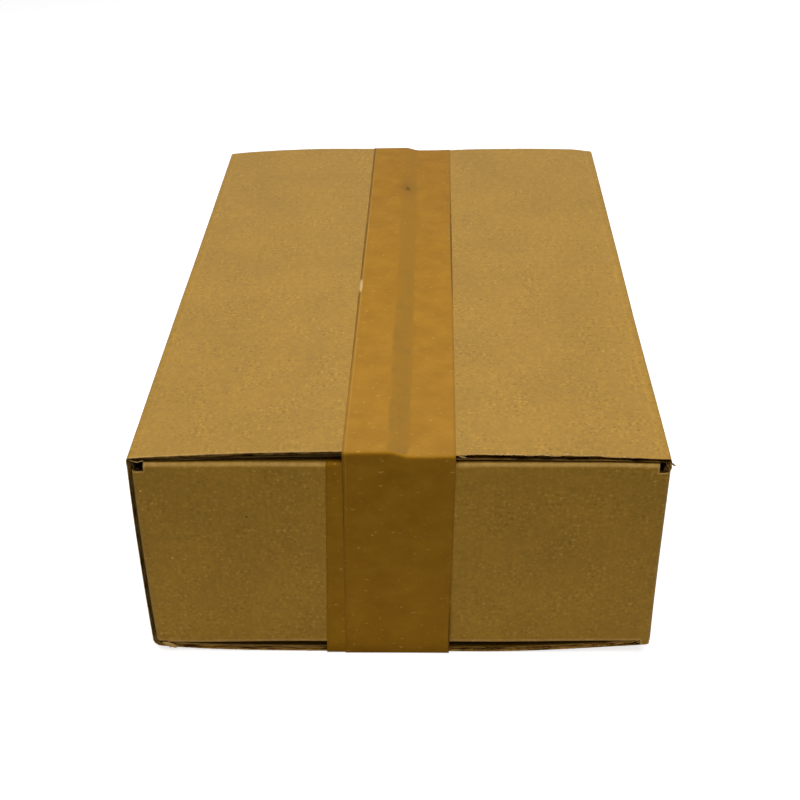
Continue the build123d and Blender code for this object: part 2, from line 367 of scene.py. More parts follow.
def wallPoint(u, v, depth):
    # The walls are crushed along their upright folds, and the left one where the tab is glued inside it
    b = blank
    place, inward = planPoint(u)
    crushed = b["crushed"] / b["board"]
    share = 1.0
    for i, run in enumerate(plan):
        if run[5]:
            away = max(planStarts[i] - u, u - planStarts[i + 1], 0.0)
            share = min(share, crushed + (1 - crushed) * shareOut(away, 0, b["crushFade"]))
    glueEnd = b["tabReach"] + b["glueFade"]
    glued = shareOut(glueEnd - (blankRun - u), 0, b["glueFade"])
    glued *= shareOut(straightRise(v >= 0) - abs(v), 0, b["glueFade"])
    share = min(share, 1 - glued * (1 - b["jointShow"] / b["board"]))
    inner = place + inward * depth * share
    return Vector((inner.x, inner.y, middle + v))


def flapPoint(panel, u, beyond, upper, depth):
    b = blank
    path = paths[(panel, upper)]
    place, inward = planPoint(u, panelRuns[panel])
    if beyond < b["cornerEase"]:
        onCorner, _ = planPoint(u)
        place = onCorner.lerp(place, beyond / b["cornerEase"])
    rest = beyond
    for i, (length, rule) in enumerate(path):
        if rest <= length + 1e-6 or i == len(path) - 1:
            inset, level, tilt = rule(rest / length if length > 1e-6 else 0.0)
            break
        rest -= length
    crushed = b["crushed"] / b["board"]
    thick = b["board"] * (crushed + (1 - crushed) * shareOut(path[0][0] - beyond, 0, b["crushFade"]))
    if i >= 2 and panel in ("left", "right"):
        innerFace = b["endTop"] + b["clearance"] if upper else b["endBase"] - b["clearance"]
        thick = min(b["board"], abs(level - innerFace))
        if upper:
            fromEnd = min(u - spans[panel][0], spans[panel][1] - u)
            thick *= 1 - b["pinched"] * shareOut(b["scuffAndHighlight"] - fromEnd, 0, b["scuffAndHighlight"])
    elif i >= 2:
        thick = b["board"] * (crushed + (1 - crushed) * shareOut(rest, 0, b["flapCrushFade"]))
    sign = 1 if upper else -1
    sink = depth / b["board"] * thick
    x = place.x + inward.x * (inset + sink * math.cos(tilt))
    y = place.y + inward.y * (inset + sink * math.cos(tilt))
    return Vector((x, y, level - sign * sink * math.sin(tilt)))


def foldPoint(u, v, depth):
    # A point of the blank, u along it, v over the middle of the walls and depth into the board, once it is folded
    b = blank
    upper = v >= 0
    beyond = abs(v) - straightRise(upper)
    corner = not upper and beyond < b["ringFoot"] - b["cornerFoot"] + 0.2
    loose = b["slit"] / 2 if corner else 1.0    # a flap's cut edges wander out of its span by less than this
    panel = next((name for name in panelRuns if spans[name][0] - loose <= u <= spans[name][1] + loose), None)
    if beyond <= 0 or panel is None:
        return wallPoint(u, v, depth)
    return flapPoint(panel, u, beyond, upper, depth)


def makeBlank():
    b = blank
    sheet = b["sheet"]
    anywhere = 999.0                    # past every edge of the sheet
    bm = bmesh.new()
    bmesh.ops.create_grid(bm, x_segments=int(blankRun / b["cell"]), y_segments=int(2 * sheet / b["cell"]), size=0.5)
    bmesh.ops.scale(bm, vec=(blankRun, 2 * sheet, 1), verts=bm.verts)
    bmesh.ops.translate(bm, vec=(blankRun / 2, 0, 0), verts=bm.verts)

    def score(place, normal, faces=None, near=0.02, clear=False):
        geom = dict.fromkeys(faces if faces is not None else bm.faces[:])
        for face in list(geom):
            geom.update(dict.fromkeys(face.edges))
            geom.update(dict.fromkeys(face.verts))
        bmesh.ops.bisect_plane(bm, geom=list(geom), dist=near, plane_co=place, plane_no=normal, clear_outer=clear)

    def facesWithin(lowU, highU, lowV, highV):
        centres = ((face, face.calc_center_median()) for face in bm.faces)
        return [face for face, centre in centres if lowU < centre.x < highU and lowV < centre.y < highV]

    for i, run in enumerate(plan):      # round each upright fold
        if run[5]:
            for step in range(b["cornerSteps"] + 1):
                score((planStarts[i] + run[1] * step / b["cornerSteps"], 0, 0), (1, 0, 0))
    scuffAndHighlight = b["scuffAndHighlight"]
    headV = b["slotHead"] - middle
    footV = b["ringFoot"] - middle
    cornerFootV = b["cornerFoot"] - middle
    for v in (headV - scuffAndHighlight, headV, footV + scuffAndHighlight, footV, cornerFootV + scuffAndHighlight):
        score((0, v, 0), (0, 1, 0))
    for low, high in spans.values():
        for u in (low, low + scuffAndHighlight, high - scuffAndHighlight, high):
            score((u, 0, 0), (1, 0, 0))

    slotted = [(0, spans["front"][0]), (spans["front"][1], spans["right"][0]), (spans["right"][1], spans["back"][0]),
               (spans["back"][1], spans["left"][0])]
    slit = b["slit"]
    for lowU, highU in slotted:
        keep = set()
        if lowU > 0:                    # a corner reaches below the slots, and the tab, the first run, doesn't
            score((0, cornerFootV, 0), (0, 1, 0), facesWithin(lowU, highU, -anywhere, footV))
            for u in (lowU + slit, highU - slit):
                score((u, 0, 0), (1, 0, 0), facesWithin(lowU, highU, -anywhere, footV))
            keep.update(facesWithin(lowU + slit, highU - slit, cornerFootV, footV))
        gone = facesWithin(lowU, highU, headV, anywhere) + facesWithin(lowU, highU, -anywhere, footV)
        bmesh.ops.delete(bm, geom=[face for face in gone if face not in keep], context="FACES")

    for panel, (lowU, highU) in spans.items():      # the flaps' folds and ends
        for upper in (True, False):
            base, sign, far = (headV, 1, anywhere) if upper else (footV, -1, -anywhere)
            path = paths[(panel, upper)]
            ends = [sum(piece[0] for piece in path[:i]) for i in range(len(path) + 1)]
            steps = b["foldSteps"]
            lines = [ends[1] + (ends[2] - ends[1]) * step / steps for step in range(steps + 1)]
            for distance in lines + [ends[-1] - scuffAndHighlight, ends[-1]]:
                if distance > 0.05:
                    zone = facesWithin(lowU, highU, min(base, far), max(base, far))
                    score((0, base + sign * distance, 0), (0, 1, 0), zone)
            last = base + sign * ends[-1]
            gone = facesWithin(lowU, highU, min(last, far), max(last, far))
            bmesh.ops.delete(bm, geom=gone, context="FACES")

    tabEnd = planStarts[1]
    for sign, level in ((1, headV), (-1, footV)):   # the tab's two slanted ends
        normal = Vector((-b["tabTaper"], sign * tabEnd, 0)).normalized()
        score((tabEnd, level, 0), normal, facesWithin(0, tabEnd, -anywhere, anywhere), near=0.001, clear=True)
    return bm


def cutFaces(bm):
    return [face for face in bm.faces if abs(face.normal.z) < 0.5]


def thicken(bm):
    # The board's thickness, and closer points along the cut edges that show, which the end flaps' edges don't
    b = blank
    bmesh.ops.solidify(bm, geom=bm.faces[:], thickness=b["board"])
    highest = max(vert.co.z for vert in bm.verts)
    bmesh.ops.translate(bm, vec=(0, 0, -highest), verts=bm.verts)
    bmesh.ops.recalc_face_normals(bm, faces=bm.faces)
    fine = {}
    for face in cutFaces(bm):
        for side in face.edges:
            start, end = (vert.co for vert in side.verts)
            inside = abs(start.y) > hidden and any(spans[name][0] - 2 < start.x < spans[name][1] + 2
                                                   for name in ("front", "back"))
            if abs(start.z - end.z) < 0.1 and (start - end).length > 1.5 and not inside:
                fine[side] = True
    bmesh.ops.subdivide_edges(bm, edges=list(fine), cuts=b["edgeCuts"])


def roughen(bm, rim):
    # The wander of the cut edges, which are scuffed pale
    b = blank
    outward = {}
    for face in rim:
        for vert in face.verts:
            outward[vert] = outward.get(vert, Vector((0, 0, 0))) + face.normal
    scuffedAndHighlit = bm.verts.layers.float["scuffedAndHighlit"]
    tornEdge = spans["right"][0]
    fineWave, coarseWave, tornWave = b["wanderLengths"]
    for vert, normal in outward.items():
        u, v, z = vert.co
        vert[scuffedAndHighlit] = 1.0 if abs(v) > -lowerEdges else b["wallScuff"]
        outer = z > -b["board"] / 2
        torn = abs(u - tornEdge) < 0.1 and outer and (v > upperEdges or v < lowerEdges)
        wander = noise.noise(Vector((u, v, z * 2)) / fineWave)
        wander += 0.6 * noise.noise(Vector((u, v, z + 40)) / coarseWave)
        if torn:
            scallop = 0.22 + 0.8 * wander + 0.9 * noise.noise(Vector((u, v, 9)) / tornWave)
            vert.co -= normal.normalized() * b["torn"] * max(0.0, scallop)
        elif v > cornerFeet or v < lowerEdges:
            atBack = min(abs(u - spans["right"][1]), abs(u - spans["left"][0])) < 0.1 and v > upperEdges
            vert.co += normal.normalized() * b["raggedBack" if atBack else "ragged"] * wander
            if abs(u - spans["left"][1]) < 0.1 and v > pastFolds:
                vert.co.x -= b["setBack"]


def openEdges(bm, rim):
    # The slit that each cut edge shows between its two facings. The faces in it are returned, with the inner
    # facings' edges, which are as dark. Painted shade is set in the slits here.
    b = blank
    channel = b["channel"]
    facings = bmesh.ops.inset_region(bm, faces=rim, thickness=b["liner"], depth=0, use_even_offset=True)["faces"]
    sides = bmesh.ops.inset_region(bm, faces=rim, thickness=0.02, depth=-channel)["faces"]
    paintedShade = bm.verts.layers.float["paintedShade"]
    for vert in {vert for face in rim for vert in face.verts}:
        vert.co.z = min(max(vert.co.z, b["liner"] - b["board"]), -b["liner"])   # the inset oversteps at corners
        u, v, z = vert.co
        # painted shade in the torn edge's pocket, on the raw edge and on the upper flaps' edges
        if v > upperEdges and abs(u - spans["right"][0] - channel) < 1:
            vert.co.x += b["tornChannel"]
            vert[paintedShade] = b["tornPocket"]
        elif u > blankRun - 2 and abs(v) < -lowerEdges:
            vert[paintedShade] = b["rawEdge"] * shareOut(v, -53, -47)
        else:
            vert[paintedShade] = b["flapEdge"] if v > upperEdges else 0.0
    shaded = [face for face in facings if face.calc_center_median().z < -b["board"] / 2]
    return rim + sides + shaded


def paintHighlightAndShade(bm):
    # Painted highlight pales the end walls along their folds, and painted shade darkens the board where no light gets
    b = blank
    scuffedAndHighlit, paintedShade, boardDepth = (bm.verts.layers.float[name] for name in ("scuffedAndHighlit", "paintedShade", "boardDepth"))
    endFolds = paths[("front", True)]
    foldV = b["slotHead"] - middle + endFolds[0][0] + endFolds[1][0] / 2
    footV = b["ringFoot"] - middle
    tornEdge = spans["right"][0]
    for vert in bm.verts:
        u, v, z = vert.co
        atTear = tornEdge - 1 < u < tornEdge + 3 and v > pastFolds
        inside = b["insideFoot"] if v < footV else b["insideTear"] if atTear else b["inside"]
        # painted shade on the inner face of the board and deep in its cut edges
        shadeShare = inside * shareOut(-z, 1.5, 2.7)
        if u > blankRun - 2 and abs(v) < -lowerEdges:
            shadeShare = max(shadeShare, b["inside"] * shareOut(-z, 0.3, 0.7)) * shareOut(v, -53, -47)
        onEnd = any(spans[name][0] <= u <= spans[name][1] for name in ("front", "back"))
        if onEnd and z > -0.1:
            # painted highlight along the end walls' upper folds and at their foot
            foldHighlight = shareOut(foldV + 1.3 - v, 0, 1) * shareOut(v, foldV - 1.5, foldV - 0.4)
            foldHighlight = max(foldHighlight, b["foot"] * shareOut(0.9 - abs(v - footV), 0, 0.5))
            vert[scuffedAndHighlit] = max(vert[scuffedAndHighlit], b["foldHighlight"] * foldHighlight)
            # painted shade beyond the fold at the foot of the end walls
            shadeShare = max(shadeShare, b["inside"] * shareOut(footV - 0.7 - v, 0, 1))
        vert[paintedShade] = max(vert[paintedShade], shadeShare)
        vert[boardDepth] = -z * mm


def waver(place, size, seed=0.0):
    return noise.noise(Vector(place) / size + Vector((seed, seed * 0.37, -seed)))


settled = {                 # millimetres
    "footRight": 1.0, "footLeft": -0.85,    # the foot of the carton stands higher at the right, fuller at the left
    "seamDip": -0.55,       # the right flap is pressed down beside the seam, at the front
    "backLeft": 0.35, "backRight": 1.05, "backMiddle": -0.85,   # the flaps' outline at the back
    "leftBulge": -0.85, "rightHollow": -0.3, "rightBulge": 0.5,     # the side walls
    "cornerOut": 0.7, "cornerDown": -0.8,   # the upper right front corner is knocked out and down
    "sideWaves": (0.25, 70), "endWaves": (0.3, 60), "topWaves": (0.35, 75),     # height and length
}


def settle(place):
    # The slight bulge, twist and waviness of a packed carton. It moves the space that board and tape lie in, so
    # they stay together.
    s = settled
    x, y, z = place
    if z < 60:
        foot = 1 - shareOut(z, 8, 60)
        z += foot * (s["footRight"] * shareOut(x, 30, 100) + s["footLeft"] * shareOut(-x, 45, 108))
    onTop = shareOut(z, 60, 107)
    z += s["seamDip"] * shareOut(40 - x, 0, 32) * shareOut(x, -2, 6) * onTop * shareOut(-y, -60, 150)
    back = shareOut(y, -20, 168) * shareOut(z, 60, 107) * shareOut(115 - abs(x), 0, 14)
    if x < 0:
        z += back * (s["backLeft"] * shareOut(-x, 40, 85) + s["backMiddle"] * shareOut(60 + x, 0, 40))
    else:
        z += back * (s["backRight"] * shareOut(x, 15, 90) + s["backMiddle"] * shareOut(42 - x, 0, 30))
    up = (z - middle) / 51
    out = max(0.0, 1 - up * up)
    lowBulge = max(0.0, 1 - ((z - 42) / 62) ** 2)
    if x < 0:
        x += s["leftBulge"] * lowBulge * shareOut(-x, 60, 112)
    else:
        side = out * shareOut(x, 60, 112)
        x += s["rightHollow"] * side + s["rightBulge"] * side * shareOut(y, -120, 40)
    x += s["cornerOut"] * shareOut(x, 80, 112) * shareOut(z, 20, 90) * shareOut(-y, 40, 160)
    z += s["cornerDown"] * shareOut(x, 84, 114) * shareOut(z, 70, 107) * shareOut(-y, 60, 165)
    height, size = s["sideWaves"]
    x += height * waver((0, y, z), size, 3.1) * shareOut(abs(x), 90, 114)
    height, size = s["endWaves"]
    y += height * waver((x, 0, z), size, 7.7) * shareOut(abs(y), 120, 168)
    height, size = s["topWaves"]
    z += height * waver((x, y, 0), size, 11.3) * shareOut(z, 60, 107) * (1 - 0.6 * shareOut(abs(y), 140, 170))
    return Vector((x, y, z))


def makeCarton():
    bm = makeBlank()
    flatMap = bm.loops.layers.uv.new("blankPlan")
    for name in ("scuffedAndHighlit", "boardDepth", "paintedShade"):
        bm.verts.layers.float.new(name)
    thicken(bm)
    rim = cutFaces(bm)
    roughen(bm, rim)
    opened = openEdges(bm, rim)
    for face in bm.faces:
        face.smooth = True
        for loop in face.loops:
            loop[flatMap].uv = (loop.vert.co.x * mm, loop.vert.co.y * mm)
    for face in opened:
        face.material_index = 1
        face.smooth = False
    paintHighlightAndShade(bm)
    for vert in bm.verts:
        vert.co = settle(foldPoint(vert.co.x, vert.co.y, -vert.co.z)) * mm
    made = meshObject("foldedCarton", bm)
    print("carton folded, triangles", sum(len(p.vertices) - 2 for p in made.data.polygons))
    return made


carton = makeCarton()

scraps = {                  # torn bits of facing at the corners, in mm
    "thickness": 0.25,
    "curl": (0.1, 0.25, 0.25),
    "bits": [               # three points along each, width, cut side out
        (((-113.4, -169.0, 109.4), (-111.0, -169.3, 107.9), (-107.6, -169.0, 109.2)), (0, -0.6, 0.7), False),
        (((113.2, -168.9, 109.2), (115.0, -169.2, 108.6), (116.6, -169.0, 107.5)), (-0.2, 0, 1.0), True),
        (((112.6, -168.0, 108.7), (113.4, -168.7, 107.2), (113.9, -168.2, 105.8)), (0.9, -0.4, 0.3), True),
        (((114.2, -168.2, 108.4), (114.9, -168.8, 106.4), (114.8, -168.4, 104.6)), (0.8, -0.3, 0.2), True),
        (((-110.6, -169.3, 6.8), (-107.4, -170.4, 5.8), (-103.6, -169.4, 4.0)), (-0.3, 0.3, -3.0), False),
        (((26.0, -168.6, 111.6), (27.6, -169.2, 111.3), (29.4, -168.7, 110.6)), (0, -0.3, 0.8), False),
        (((60.4, -168.7, 1.9), (64.0, -169.3, 2.6), (69.0, -168.8, 2.6)), (0, -0.2, 0.7), True),
    ],
}


def makeScraps():
    bm = bmesh.new()
    flatMap = bm.loops.layers.uv.new("blankPlan")
    for name in ("scuffedAndHighlit", "boardDepth", "paintedShade"):
        bm.verts.layers.float.new(name)
    scuffedAndHighlit = bm.verts.layers.float["scuffedAndHighlit"]
    for index, (points, width, cut) in enumerate(scraps["bits"]):
        fresh = bmesh.ops.create_grid(bm, x_segments=10, y_segments=3, size=0.5)["verts"]
        freshFaces = list(dict.fromkeys(face for vert in fresh for face in vert.link_faces))
        start, bend, end = (Vector(point) for point in points)
        for face in freshFaces:
            face.smooth = True
            face.material_index = 1 if cut else 0
            for loop in face.loops:     # each bit has paper of its own
                loop[flatMap].uv = ((40 * index + 12 * loop.vert.co.x) * mm, (6 * loop.vert.co.y + 20) * mm)
        for vert in fresh:
            vert[scuffedAndHighlit] = 1.0
            t, side = vert.co.x + 0.5, vert.co.y
            place = start * (1 - t) ** 2 + bend * 2 * t * (1 - t) + end * t * t
            place += Vector(width) * side * (1 - 0.75 * abs(2 * t - 1) ** 1.5)
            place += Vector(scraps["curl"]) * waver(place, 1.1, index + 0.5)
            vert.co = settle(place) * mm
        bmesh.ops.solidify(bm, geom=freshFaces, thickness=scraps["thickness"] * mm)
    bmesh.ops.recalc_face_normals(bm, faces=bm.faces)
    return meshObject("tornFacing", bm)


tornFacing = makeScraps()
print("torn bits made")

# The tape is two flat strips, which are laid round the carton.

tape = {                    # millimetres
    "width": 48.0, "film": 0.1, "cellAcross": 2.0, "cellAlong": 0.8,
    "topFold": 0.8, "bottomFold": 1.2, "end": 0.4, "middle": 1.0, "lean": 2.7, "landing": 3.5,
    "frontTop": -6.0, "frontFoot": -10.4, "back": -4.0, "tuck": 12.0,
    "toothPitch": 2.4, "toothDepth": 0.9,
    "lift": 0.7,            # of the right edge, near the foot of the front end
    "crinkle": 0.25,        # of the front end, just under the top
}


def crownLevel(panel, x):
    # Outer face of an upper side flap, x out from the middle of the carton
    seam, crown, drop = upperFlap(panel)
    radius = arcRadius(halfWidth - seam, drop)
    out = max(0.0, x - seam)
    return crown - radius + math.sqrt(radius * radius - out * out)


def underTape(x):
    # What the upper strip lies on, over the seam and the step between the two flaps
    start, end = -blank["leftSeam"], blank["rightSeam"] + tape["landing"]
    if x <= start:
        return crownLevel("left", -x)
    if x >= end:
        return crownLevel("right", x)
    leftLevel, rightLevel = crownLevel("left", -start), crownLevel("right", end)
    return leftLevel + (rightLevel - leftLevel) * shareOut(x, start, end)


def makeStrip(name, length, lower, wrap):
    # A flat strip, bent round the carton point by point by wrap. The lower one ends in saw teeth.
    t = tape
    bm = bmesh.new()
    columns = round(t["width"] / (t["toothPitch"] / 2 if lower else t["cellAcross"]))
    rows = int(length / t["cellAlong"])
    bmesh.ops.create_grid(bm, x_segments=columns, y_segments=rows, size=0.5)
    bmesh.ops.scale(bm, vec=(t["width"], length, 1), verts=bm.verts)
    bmesh.ops.translate(bm, vec=(0, length / 2, 0), verts=bm.verts)
    for vert in bm.verts:               # teeth
        if lower and (vert.co.y < 0.01 or vert.co.y > length - 0.01):
            tooth = abs((vert.co.x / t["toothPitch"]) % 1 - 0.5) * 2
            sign = 1 if vert.co.y < length / 2 else -1
            vert.co.y += sign * tooth * t["toothDepth"]
    flatMap = bm.loops.layers.uv.new("stripPlan")
    for face in bm.faces:
        face.smooth = True
        for loop in face.loops:
            loop[flatMap].uv = (loop.vert.co.x * mm, (loop.vert.co.y - length / 2) * mm)
    for vert in bm.verts:
        vert.co = settle(wrap(vert.co.x, vert.co.y)) * mm
    if lower:                           # it runs down the front, so its flat face was turned in
        bmesh.ops.reverse_faces(bm, faces=bm.faces)
    made = meshObject(name, bm)
    solid = made.modifiers.new("film", "SOLIDIFY")
    solid.thickness = t["film"] * mm
    solid.offset = -1
    print(name, "laid, triangles", 2 * sum(len(p.vertices) - 2 for p in made.data.polygons))
    return made


topBend = tape["topFold"] + tape["film"]
topWall = halfLength + 2 * tape["film"]
topLeg = underTape(0) + tape["film"] - tape["end"]
topTapeLength = 2 * (topLeg + (math.pi / 2 - 1) * topBend + topWall - topBend)


def topTapeWrap(across, s):
    # Outer face of the upper strip, up the front end, over the seam and down the back end. What lies under it sets
    # the length of its legs, so a leg's points are shared out between its cut end and its bend.
    t = tape
    x = across + t["middle"]
    high = underTape(x) + t["film"]
    front = s <= topTapeLength / 2
    along = s if front else topTapeLength - s
    legRun = topLeg - topBend
    bendRun = topBend * math.pi / 2
    if along <= legRun:
        y, z = -topWall, t["end"] + (high - topBend - t["end"]) * along / legRun
    elif along <= legRun + bendRun:
        angle = (along - legRun) / topBend
        y, z = -topWall + topBend - topBend * math.cos(angle), high - topBend + topBend * math.sin(angle)
    else:
        y, z = -topWall + topBend + along - legRun - bendRun, high
    if not front:
        return Vector((x, -y, z))
    x -= t["lean"] * (1 - min(1.0, z / blank["endTop"]))
    lifted = shareOut(across, 19.5, 24) * shareOut(z, 3, 9) * shareOut(34 - z, 0, 14)
    crinkled = max(0.0, waver((x, 0, 0), 5, 2.2)) * shareOut(z, 96, 110) * shareOut(-y, 167, 170)
    return Vector((x, y - t["lift"] * lifted - t["crinkle"] * crinkled, z))


lowWall = halfLength + tape["film"]
lowTop = blank["endTop"] + tape["film"]
lowGround = blank["groundFace"] - tape["film"]
lowFold = blank["endFold"] + tape["film"]
lowBend = tape["bottomFold"]
lowRuns = [tape["tuck"] + tape["film"] - lowFold, lowFold * math.pi / 2,    # tucked in, over the fold, down the wall,
           lowTop - lowFold - lowGround - lowBend, lowBend * math.pi / 2]   # and under
bottomTapeLength = 2 * (sum(lowRuns) + lowWall - lowBend)


def bottomTapeWrap(across, s):
    # Outer face of the lower strip, from its front end under the left and right flaps, down, under and up again
    t = tape
    front = s <= bottomTapeLength / 2
    along = s if front else bottomTapeLength - s
    ends = [sum(lowRuns[:i]) for i in range(1, 5)]
    if along <= ends[0]:
        y, z = -lowWall + t["tuck"] + t["film"] - along, lowTop
    elif along <= ends[1]:
        angle = (along - ends[0]) / lowFold
        y, z = -lowWall + lowFold - lowFold * math.sin(angle), lowTop - lowFold + lowFold * math.cos(angle)
    elif along <= ends[2]:
        y, z = -lowWall, lowTop - lowFold - (along - ends[1])
    elif along <= ends[3]:
        angle = (along - ends[2]) / lowBend
        y, z = -lowWall + lowBend - lowBend * math.cos(angle), lowGround + lowBend - lowBend * math.sin(angle)
    else:
        y, z = -lowWall + lowBend + along - ends[3], lowGround
    if z <= lowGround + 1e-6:           # it slants from the front's foot to the back's
        share = (y + lowWall) / (2 * lowWall)
        x = t["frontFoot"] + (t["back"] - t["frontFoot"]) * (share if front else 1 - share)
    elif front:
        x = t["frontFoot"] + (t["frontTop"] - t["frontFoot"]) * max(0.0, min(1.0, z / lowTop))
    else:
        x = t["back"]
    return Vector((x + across, y if front else -y, z))


topTape = makeStrip("upperTape", topTapeLength, False, topTapeWrap)
bottomTape = makeStrip("lowerTape", bottomTapeLength, True, bottomTapeWrap)

# The finishes: board, its cut edges, and tape.

boardFinish = {
    # The dust colour is dust with painted sheen on the top. The scuffed colour is the pale line of scuffed cut edges,
    # with painted highlight on the end walls' folds and feet.
    "pale": "#AC801B", "deep": "#A37916", "scuffedAndHighlit": "#DDB268", "dustAndSheen": "#DCCDB4",
    "fleckPale": "#D0A348", "fleckDark": "#6E4A06", "speckPale": "#F2C264", "speckDark": "#3E2A10",
    "cutPale": "#EDBB62", "cutDark": "#5C3A10",
    "cloud": 30.0,          # per metre: patches 30 mm across
    "mottle": 220.0,        # blotches of 4.5 mm in the pulp
    "fibre": (700.0, 260.0),    # fibres 1.4 mm wide and 4 mm long, along the flutes
    "flecks": 620.0,        # bits of pulp 1.6 mm long, pale or dark, which is as fine as the picture shows
    "clusters": 55.0,       # which lie in groups 18 mm across
    "streaks": (110.0, 110.0, 1500.0),  # torn fluting in the cut edges, 9 mm long and under 1 mm high
    "dustAndSheenShare": 0.06,          # how much of the pale colour lies on the top: dust, and painted sheen
    "unlit": 0.06,          # painted shade: how much of the tone is left where no light gets in
    "flutePitch": 6.5,      # mm, and they show faintly through the facing
    "creasePlace": 2.6,     # mm past the long folds, where the scoring wheel left a line
    "marks": [              # plan in mm, size, pale or dark
        (("front", 1.0, 36.7), 0.6, "speckPale"), (("front", 45.4, 22.7), 0.55, "speckDark"),
        (("front", 11.1, -0.4), 0.5, "speckPale"),
    ],
}


def blob(tree, plane, centre, halfSize, softness=0.5):
    # 1 inside an oval on the flat plan, given in millimetres, and 0 outside it
    away = addNode(tree, "VectorMath", {"operation": "SUBTRACT", 1: (centre[0] * mm, centre[1] * mm, 0)},
                   {0: plane})
    shares = addNode(tree, "VectorMath",
                     {"operation": "MULTIPLY", 1: (1 / (halfSize[0] * mm), 1 / (halfSize[1] * mm), 0)},
                     {0: away.outputs[0]})
    reach = addNode(tree, "VectorMath", {"operation": "LENGTH"}, {0: shares.outputs[0]})
    mask = addNode(tree, "MapRange", {"interpolation_type": "SMOOTHSTEP", "From Min": 1, "From Max": 1 - softness},
                   {"Value": reach.outputs["Value"]})
    return mask.outputs[0]


def layOver(tree, tone, finish, layers):
    # Lays colours over a tone, each through its own mask
    for mask, colour in layers:
        tone = addNode(tree, "Mix", {"data_type": "RGBA", 7: linear(finish[colour])}, {0: mask, 6: tone}).outputs[2]
    return tone


def applyPaintedShade(tree, tone):
    # Painted shade: darker in the slits and inside the carton
    shadeShare = addNode(tree, "Attribute", {"attribute_name": "paintedShade"})
    left = addNode(tree, "MapRange", {"To Min": 1.0, "To Max": boardFinish["unlit"]},
                   {"Value": shadeShare.outputs["Fac"]})
    return addNode(tree, "VectorMath", {"operation": "SCALE"}, {0: tone, "Scale": left.outputs[0]}).outputs[0]


def kraftBoard():
    # Kraft liner, unbleached and uncoated: matt brown paper with fibres, specks and cloudy patches
    f = boardFinish
    material, tree = newMaterial("kraft liner")
    plane = addNode(tree, "UVMap", {"uv_map": "blankPlan"}).outputs[0]
    parts = addNode(tree, "SeparateXYZ", {}, {0: plane})
    along = addNode(tree, "Mapping", {"Scale": (*f["fibre"], 1.0)}, {"Vector": plane})
    clouds, mottle, fibres, flecks, groups = (
        addNode(tree, "TexNoise", {"Scale": scale, "Detail": detail, "Roughness": rough},
                {"Vector": source}).outputs["Fac"]
        for source, scale, detail, rough in (
            (plane, f["cloud"], 3.0, 0.5), (plane, f["mottle"], 3.0, 0.65), (along.outputs[0], 1.0, 2.0, 0.5),
            (plane, f["flecks"], 2.0, 0.5), (plane, f["clusters"], 2.0, 0.5)))
    mottled, fibred, patchy, grouped, dustAndSheenShare, pale, dark = (
        addNode(tree, "MapRange", {"From Min": start, "From Max": full, "To Min": least, "To Max": most},
                {"Value": source}).outputs[0]
        for source, start, full, least, most in (
            (mottle, 0.3, 0.7, 0.9, 1.1), (fibres, 0.3, 0.7, 0.95, 1.05), (mottle, 0.35, 0.6, 0.5, 1.0),
            (groups, 0.42, 0.62, 0.45, 1.0), (parts.outputs[1], 50 * mm, 56 * mm, 0.0, f["dustAndSheenShare"]),
            (flecks, 0.57, 0.72, 0.0, 0.75), (flecks, 0.43, 0.28, 0.0, 0.55)))

    turn = addNode(tree, "Math", {"operation": "MULTIPLY", 1: 2 * math.pi / (f["flutePitch"] * mm)},
                   {0: parts.outputs[0]})
    flutes = addNode(tree, "Math", {"operation": "SINE"}, {0: turn.outputs[0]})
    washboard = addNode(tree, "Math", {"operation": "MULTIPLY_ADD", 1: 0.012, 2: 1.0}, {0: flutes.outputs[0]})
    shade = mottled
    for other in (fibred, washboard.outputs[0]):
        shade = addNode(tree, "Math", {"operation": "MULTIPLY"}, {0: shade, 1: other}).outputs[0]
    foldPath = paths[("left", True)]
    creaseAt = (blank["slotHead"] - middle + foldPath[0][0] + foldPath[1][0] + f["creasePlace"]) * mm
    crease = addNode(tree, "Math", {"operation": "COMPARE", 1: creaseAt, 2: 0.5 * mm}, {0: parts.outputs[1]})
    creased = addNode(tree, "Math", {"operation": "MULTIPLY_ADD", 1: 0.08}, {0: crease.outputs[0], 2: shade})
    base = addNode(tree, "ValToRGB", {"tones": ((0.35, f["deep"]), (0.65, f["pale"]))}, {"Fac": clouds})
    tone = addNode(tree, "VectorMath", {"operation": "SCALE"},
                   {0: base.outputs["Color"], "Scale": creased.outputs[0]}).outputs[0]

    scuffAndHighlight = addNode(tree, "Attribute", {"attribute_name": "scuffedAndHighlit"}).outputs["Fac"]
    # The pale film on the top is dust with painted sheen. The pale line is scuffed wear on the cut edges, with
    # painted highlight on the end walls' folds and feet.
    layers = [(dustAndSheenShare, "dustAndSheen")]
    for colour, mask, share in (("fleckPale", pale, grouped), ("fleckDark", dark, grouped),
                                ("scuffedAndHighlit", scuffAndHighlight, patchy)):
        both = addNode(tree, "Math", {"operation": "MULTIPLY"}, {0: mask, 1: share})
        layers.append((both.outputs[0], colour))
    for (panel, beyond, high), size, colour in f["marks"]:
        layers.append((blob(tree, plane, (planStarts[panelRuns[panel]] + beyond, high), (size, size)), colour))
    # painted shade in the slits and inside the carton
    tone = applyPaintedShade(tree, layOver(tree, tone, f, layers))
    bump = addNode(tree, "Bump", {"Strength": 0.3, "Distance": 0.0001}, {"Height": shade})
    shader = addNode(tree, "BsdfPrincipled", {"Roughness": 0.62, "IOR": 1.45, "Specular IOR Level": 0.25,
                                              "Sheen Weight": 0.08, "Sheen Roughness": 0.5},
                     {"Base Color": tone, "Normal": bump.outputs[0]})
    addNode(tree, "OutputMaterial", {}, {"Surface": shader.outputs[0]})
    return material


